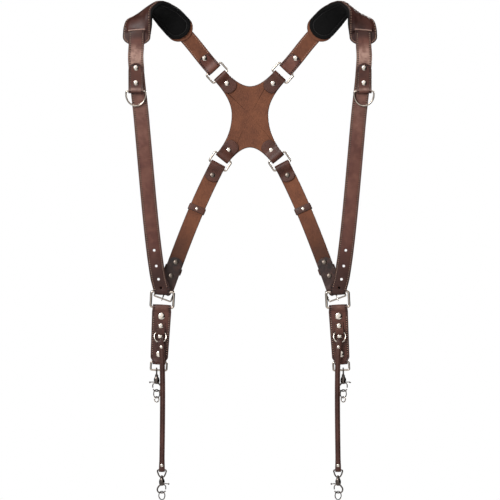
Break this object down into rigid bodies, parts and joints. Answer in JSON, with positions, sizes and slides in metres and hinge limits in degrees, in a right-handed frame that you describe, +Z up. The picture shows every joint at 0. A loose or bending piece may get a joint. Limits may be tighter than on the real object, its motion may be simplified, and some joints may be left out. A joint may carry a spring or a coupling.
{
  "type": "dual camera harness",
  "caption": "Leather shoulder harness for carrying cameras, with padded shoulders, a cross-shaped back yoke, hip buckles and tethers with trigger snaps.",
  "frame": {"origin": "midway between the two shoulders, at the height where the pads rest", "axes": "+X to the wearer's left, which is the right as seen from the front; +Y to the wearer's back; +Z up"},
  "size_m": [0.5276, 0.1084, 1.0362],
  "materials": {
    "leather_grain": "smooth oiled grain side, dark brown with a soft sheen",
    "leather_flesh": "matt flesh side, warm brown",
    "lining": "matt black padded mesh",
    "nickel": "polished nickel plate"
  },
  "bodies": {
    "harness": {"yoke": "leather_flesh", "back_strap_left": "leather_flesh", "back_strap_right": "leather_flesh", "pad_leather_left": "leather_grain", "pad_leather_right": "leather_grain", "shoulder_strap_left": "leather_grain", "shoulder_strap_right": "leather_grain", "d_ring_tab_left": "leather_grain", "d_ring_tab_right": "leather_grain", "keeper_upper_left": "leather_grain", "keeper_upper_right": "leather_grain", "keeper_lower_left": "leather_grain", "keeper_lower_right": "leather_grain", "hip_tab_left": "leather_grain", "hip_tab_right": "leather_grain", "ring_keeper_left": "leather_grain", "ring_keeper_right": "leather_grain", "tether_left": "leather_grain", "tether_right": "leather_grain", "pad_lining_left": "lining", "pad_lining_right": "lining", "upper_ring_left": "nickel", "upper_ring_right": "nickel", "lower_ring_left": "nickel", "lower_ring_right": "nickel", "hip_frame_left": "nickel", "hip_frame_right": "nickel", "hip_buckle_left": "nickel", "hip_buckle_right": "nickel", "hip_rivet_upper_left": "nickel", "hip_rivet_upper_right": "nickel", "hip_rivet_lower_left": "nickel", "hip_rivet_lower_right": "nickel", "hip_ring_left": "nickel", "hip_ring_right": "nickel", "o_ring_left": "nickel", "o_ring_right": "nickel", "tether_snap_eye_left": "nickel", "tether_snap_eye_right": "nickel", "hip_snap_eye_left": "nickel", "hip_snap_eye_right": "nickel"},
    "d_ring_left": {"d_ring_left": "nickel"},
    "tether_snap_left": {"tether_snap_body_left": "nickel", "tether_split_ring_left": "nickel"},
    "tether_lever_left": {"tether_snap_lever_left": "nickel"},
    "hip_snap_left": {"hip_snap_body_left": "nickel", "hip_split_ring_left": "nickel", "hip_end_ring_left": "nickel"},
    "hip_lever_left": {"hip_snap_lever_left": "nickel"},
    "d_ring_right": {"d_ring_right": "nickel"},
    "tether_snap_right": {"tether_snap_body_right": "nickel", "tether_split_ring_right": "nickel"},
    "tether_lever_right": {"tether_snap_lever_right": "nickel"},
    "hip_snap_right": {"hip_snap_body_right": "nickel", "hip_split_ring_right": "nickel", "hip_end_ring_right": "nickel"},
    "hip_lever_right": {"hip_snap_lever_right": "nickel"}
  },
  "joints": [
    {"name": "d_ring_swing_left", "type": "hinge", "parent": "harness", "child": "d_ring_left", "pos_m": [-0.23624, -0.04524, -0.1734], "axis": [-1, 0, 0], "range_deg": [0, 150]},
    {"name": "tether_swivel_left", "type": "hinge", "parent": "harness", "child": "tether_snap_left", "pos_m": [-0.18298, -0.02047, -0.9731], "axis": [0, 0, 1], "continuous": true},
    {"name": "tether_trigger_left", "type": "hinge", "parent": "tether_snap_left", "child": "tether_lever_left", "pos_m": [-0.18033, -0.02047, -0.988], "axis": [0, -1, 0], "range_deg": [-20, 0], "stiffness_Nm_per_rad": 0.02, "springref_deg": 20.05},
    {"name": "hip_swivel_left", "type": "hinge", "parent": "harness", "child": "hip_snap_left", "pos_m": [-0.19399, -0.008, -0.76229], "axis": [0, 0, 1], "continuous": true},
    {"name": "hip_trigger_left", "type": "hinge", "parent": "hip_snap_left", "child": "hip_lever_left", "pos_m": [-0.19663, -0.008, -0.77719], "axis": [0, 1, 0], "range_deg": [-20, 0], "stiffness_Nm_per_rad": 0.02, "springref_deg": 20.05},
    {"name": "d_ring_swing_right", "type": "hinge", "parent": "harness", "child": "d_ring_right", "pos_m": [0.23624, -0.04524, -0.1734], "axis": [-1, 0, 0], "range_deg": [0, 150]},
    {"name": "tether_swivel_right", "type": "hinge", "parent": "harness", "child": "tether_snap_right", "pos_m": [0.18298, -0.02047, -0.9731], "axis": [0, 0, 1], "continuous": true},
    {"name": "tether_trigger_right", "type": "hinge", "parent": "tether_snap_right", "child": "tether_lever_right", "pos_m": [0.18033, -0.02047, -0.988], "axis": [0, 1, 0], "range_deg": [-20, 0], "stiffness_Nm_per_rad": 0.02, "springref_deg": 20.05},
    {"name": "hip_swivel_right", "type": "hinge", "parent": "harness", "child": "hip_snap_right", "pos_m": [0.19399, -0.008, -0.76229], "axis": [0, 0, 1], "continuous": true},
    {"name": "hip_trigger_right", "type": "hinge", "parent": "hip_snap_right", "child": "hip_lever_right", "pos_m": [0.19663, -0.008, -0.77719], "axis": [0, -1, 0], "range_deg": [-20, 0], "stiffness_Nm_per_rad": 0.02, "springref_deg": 20.05}
  ]
}
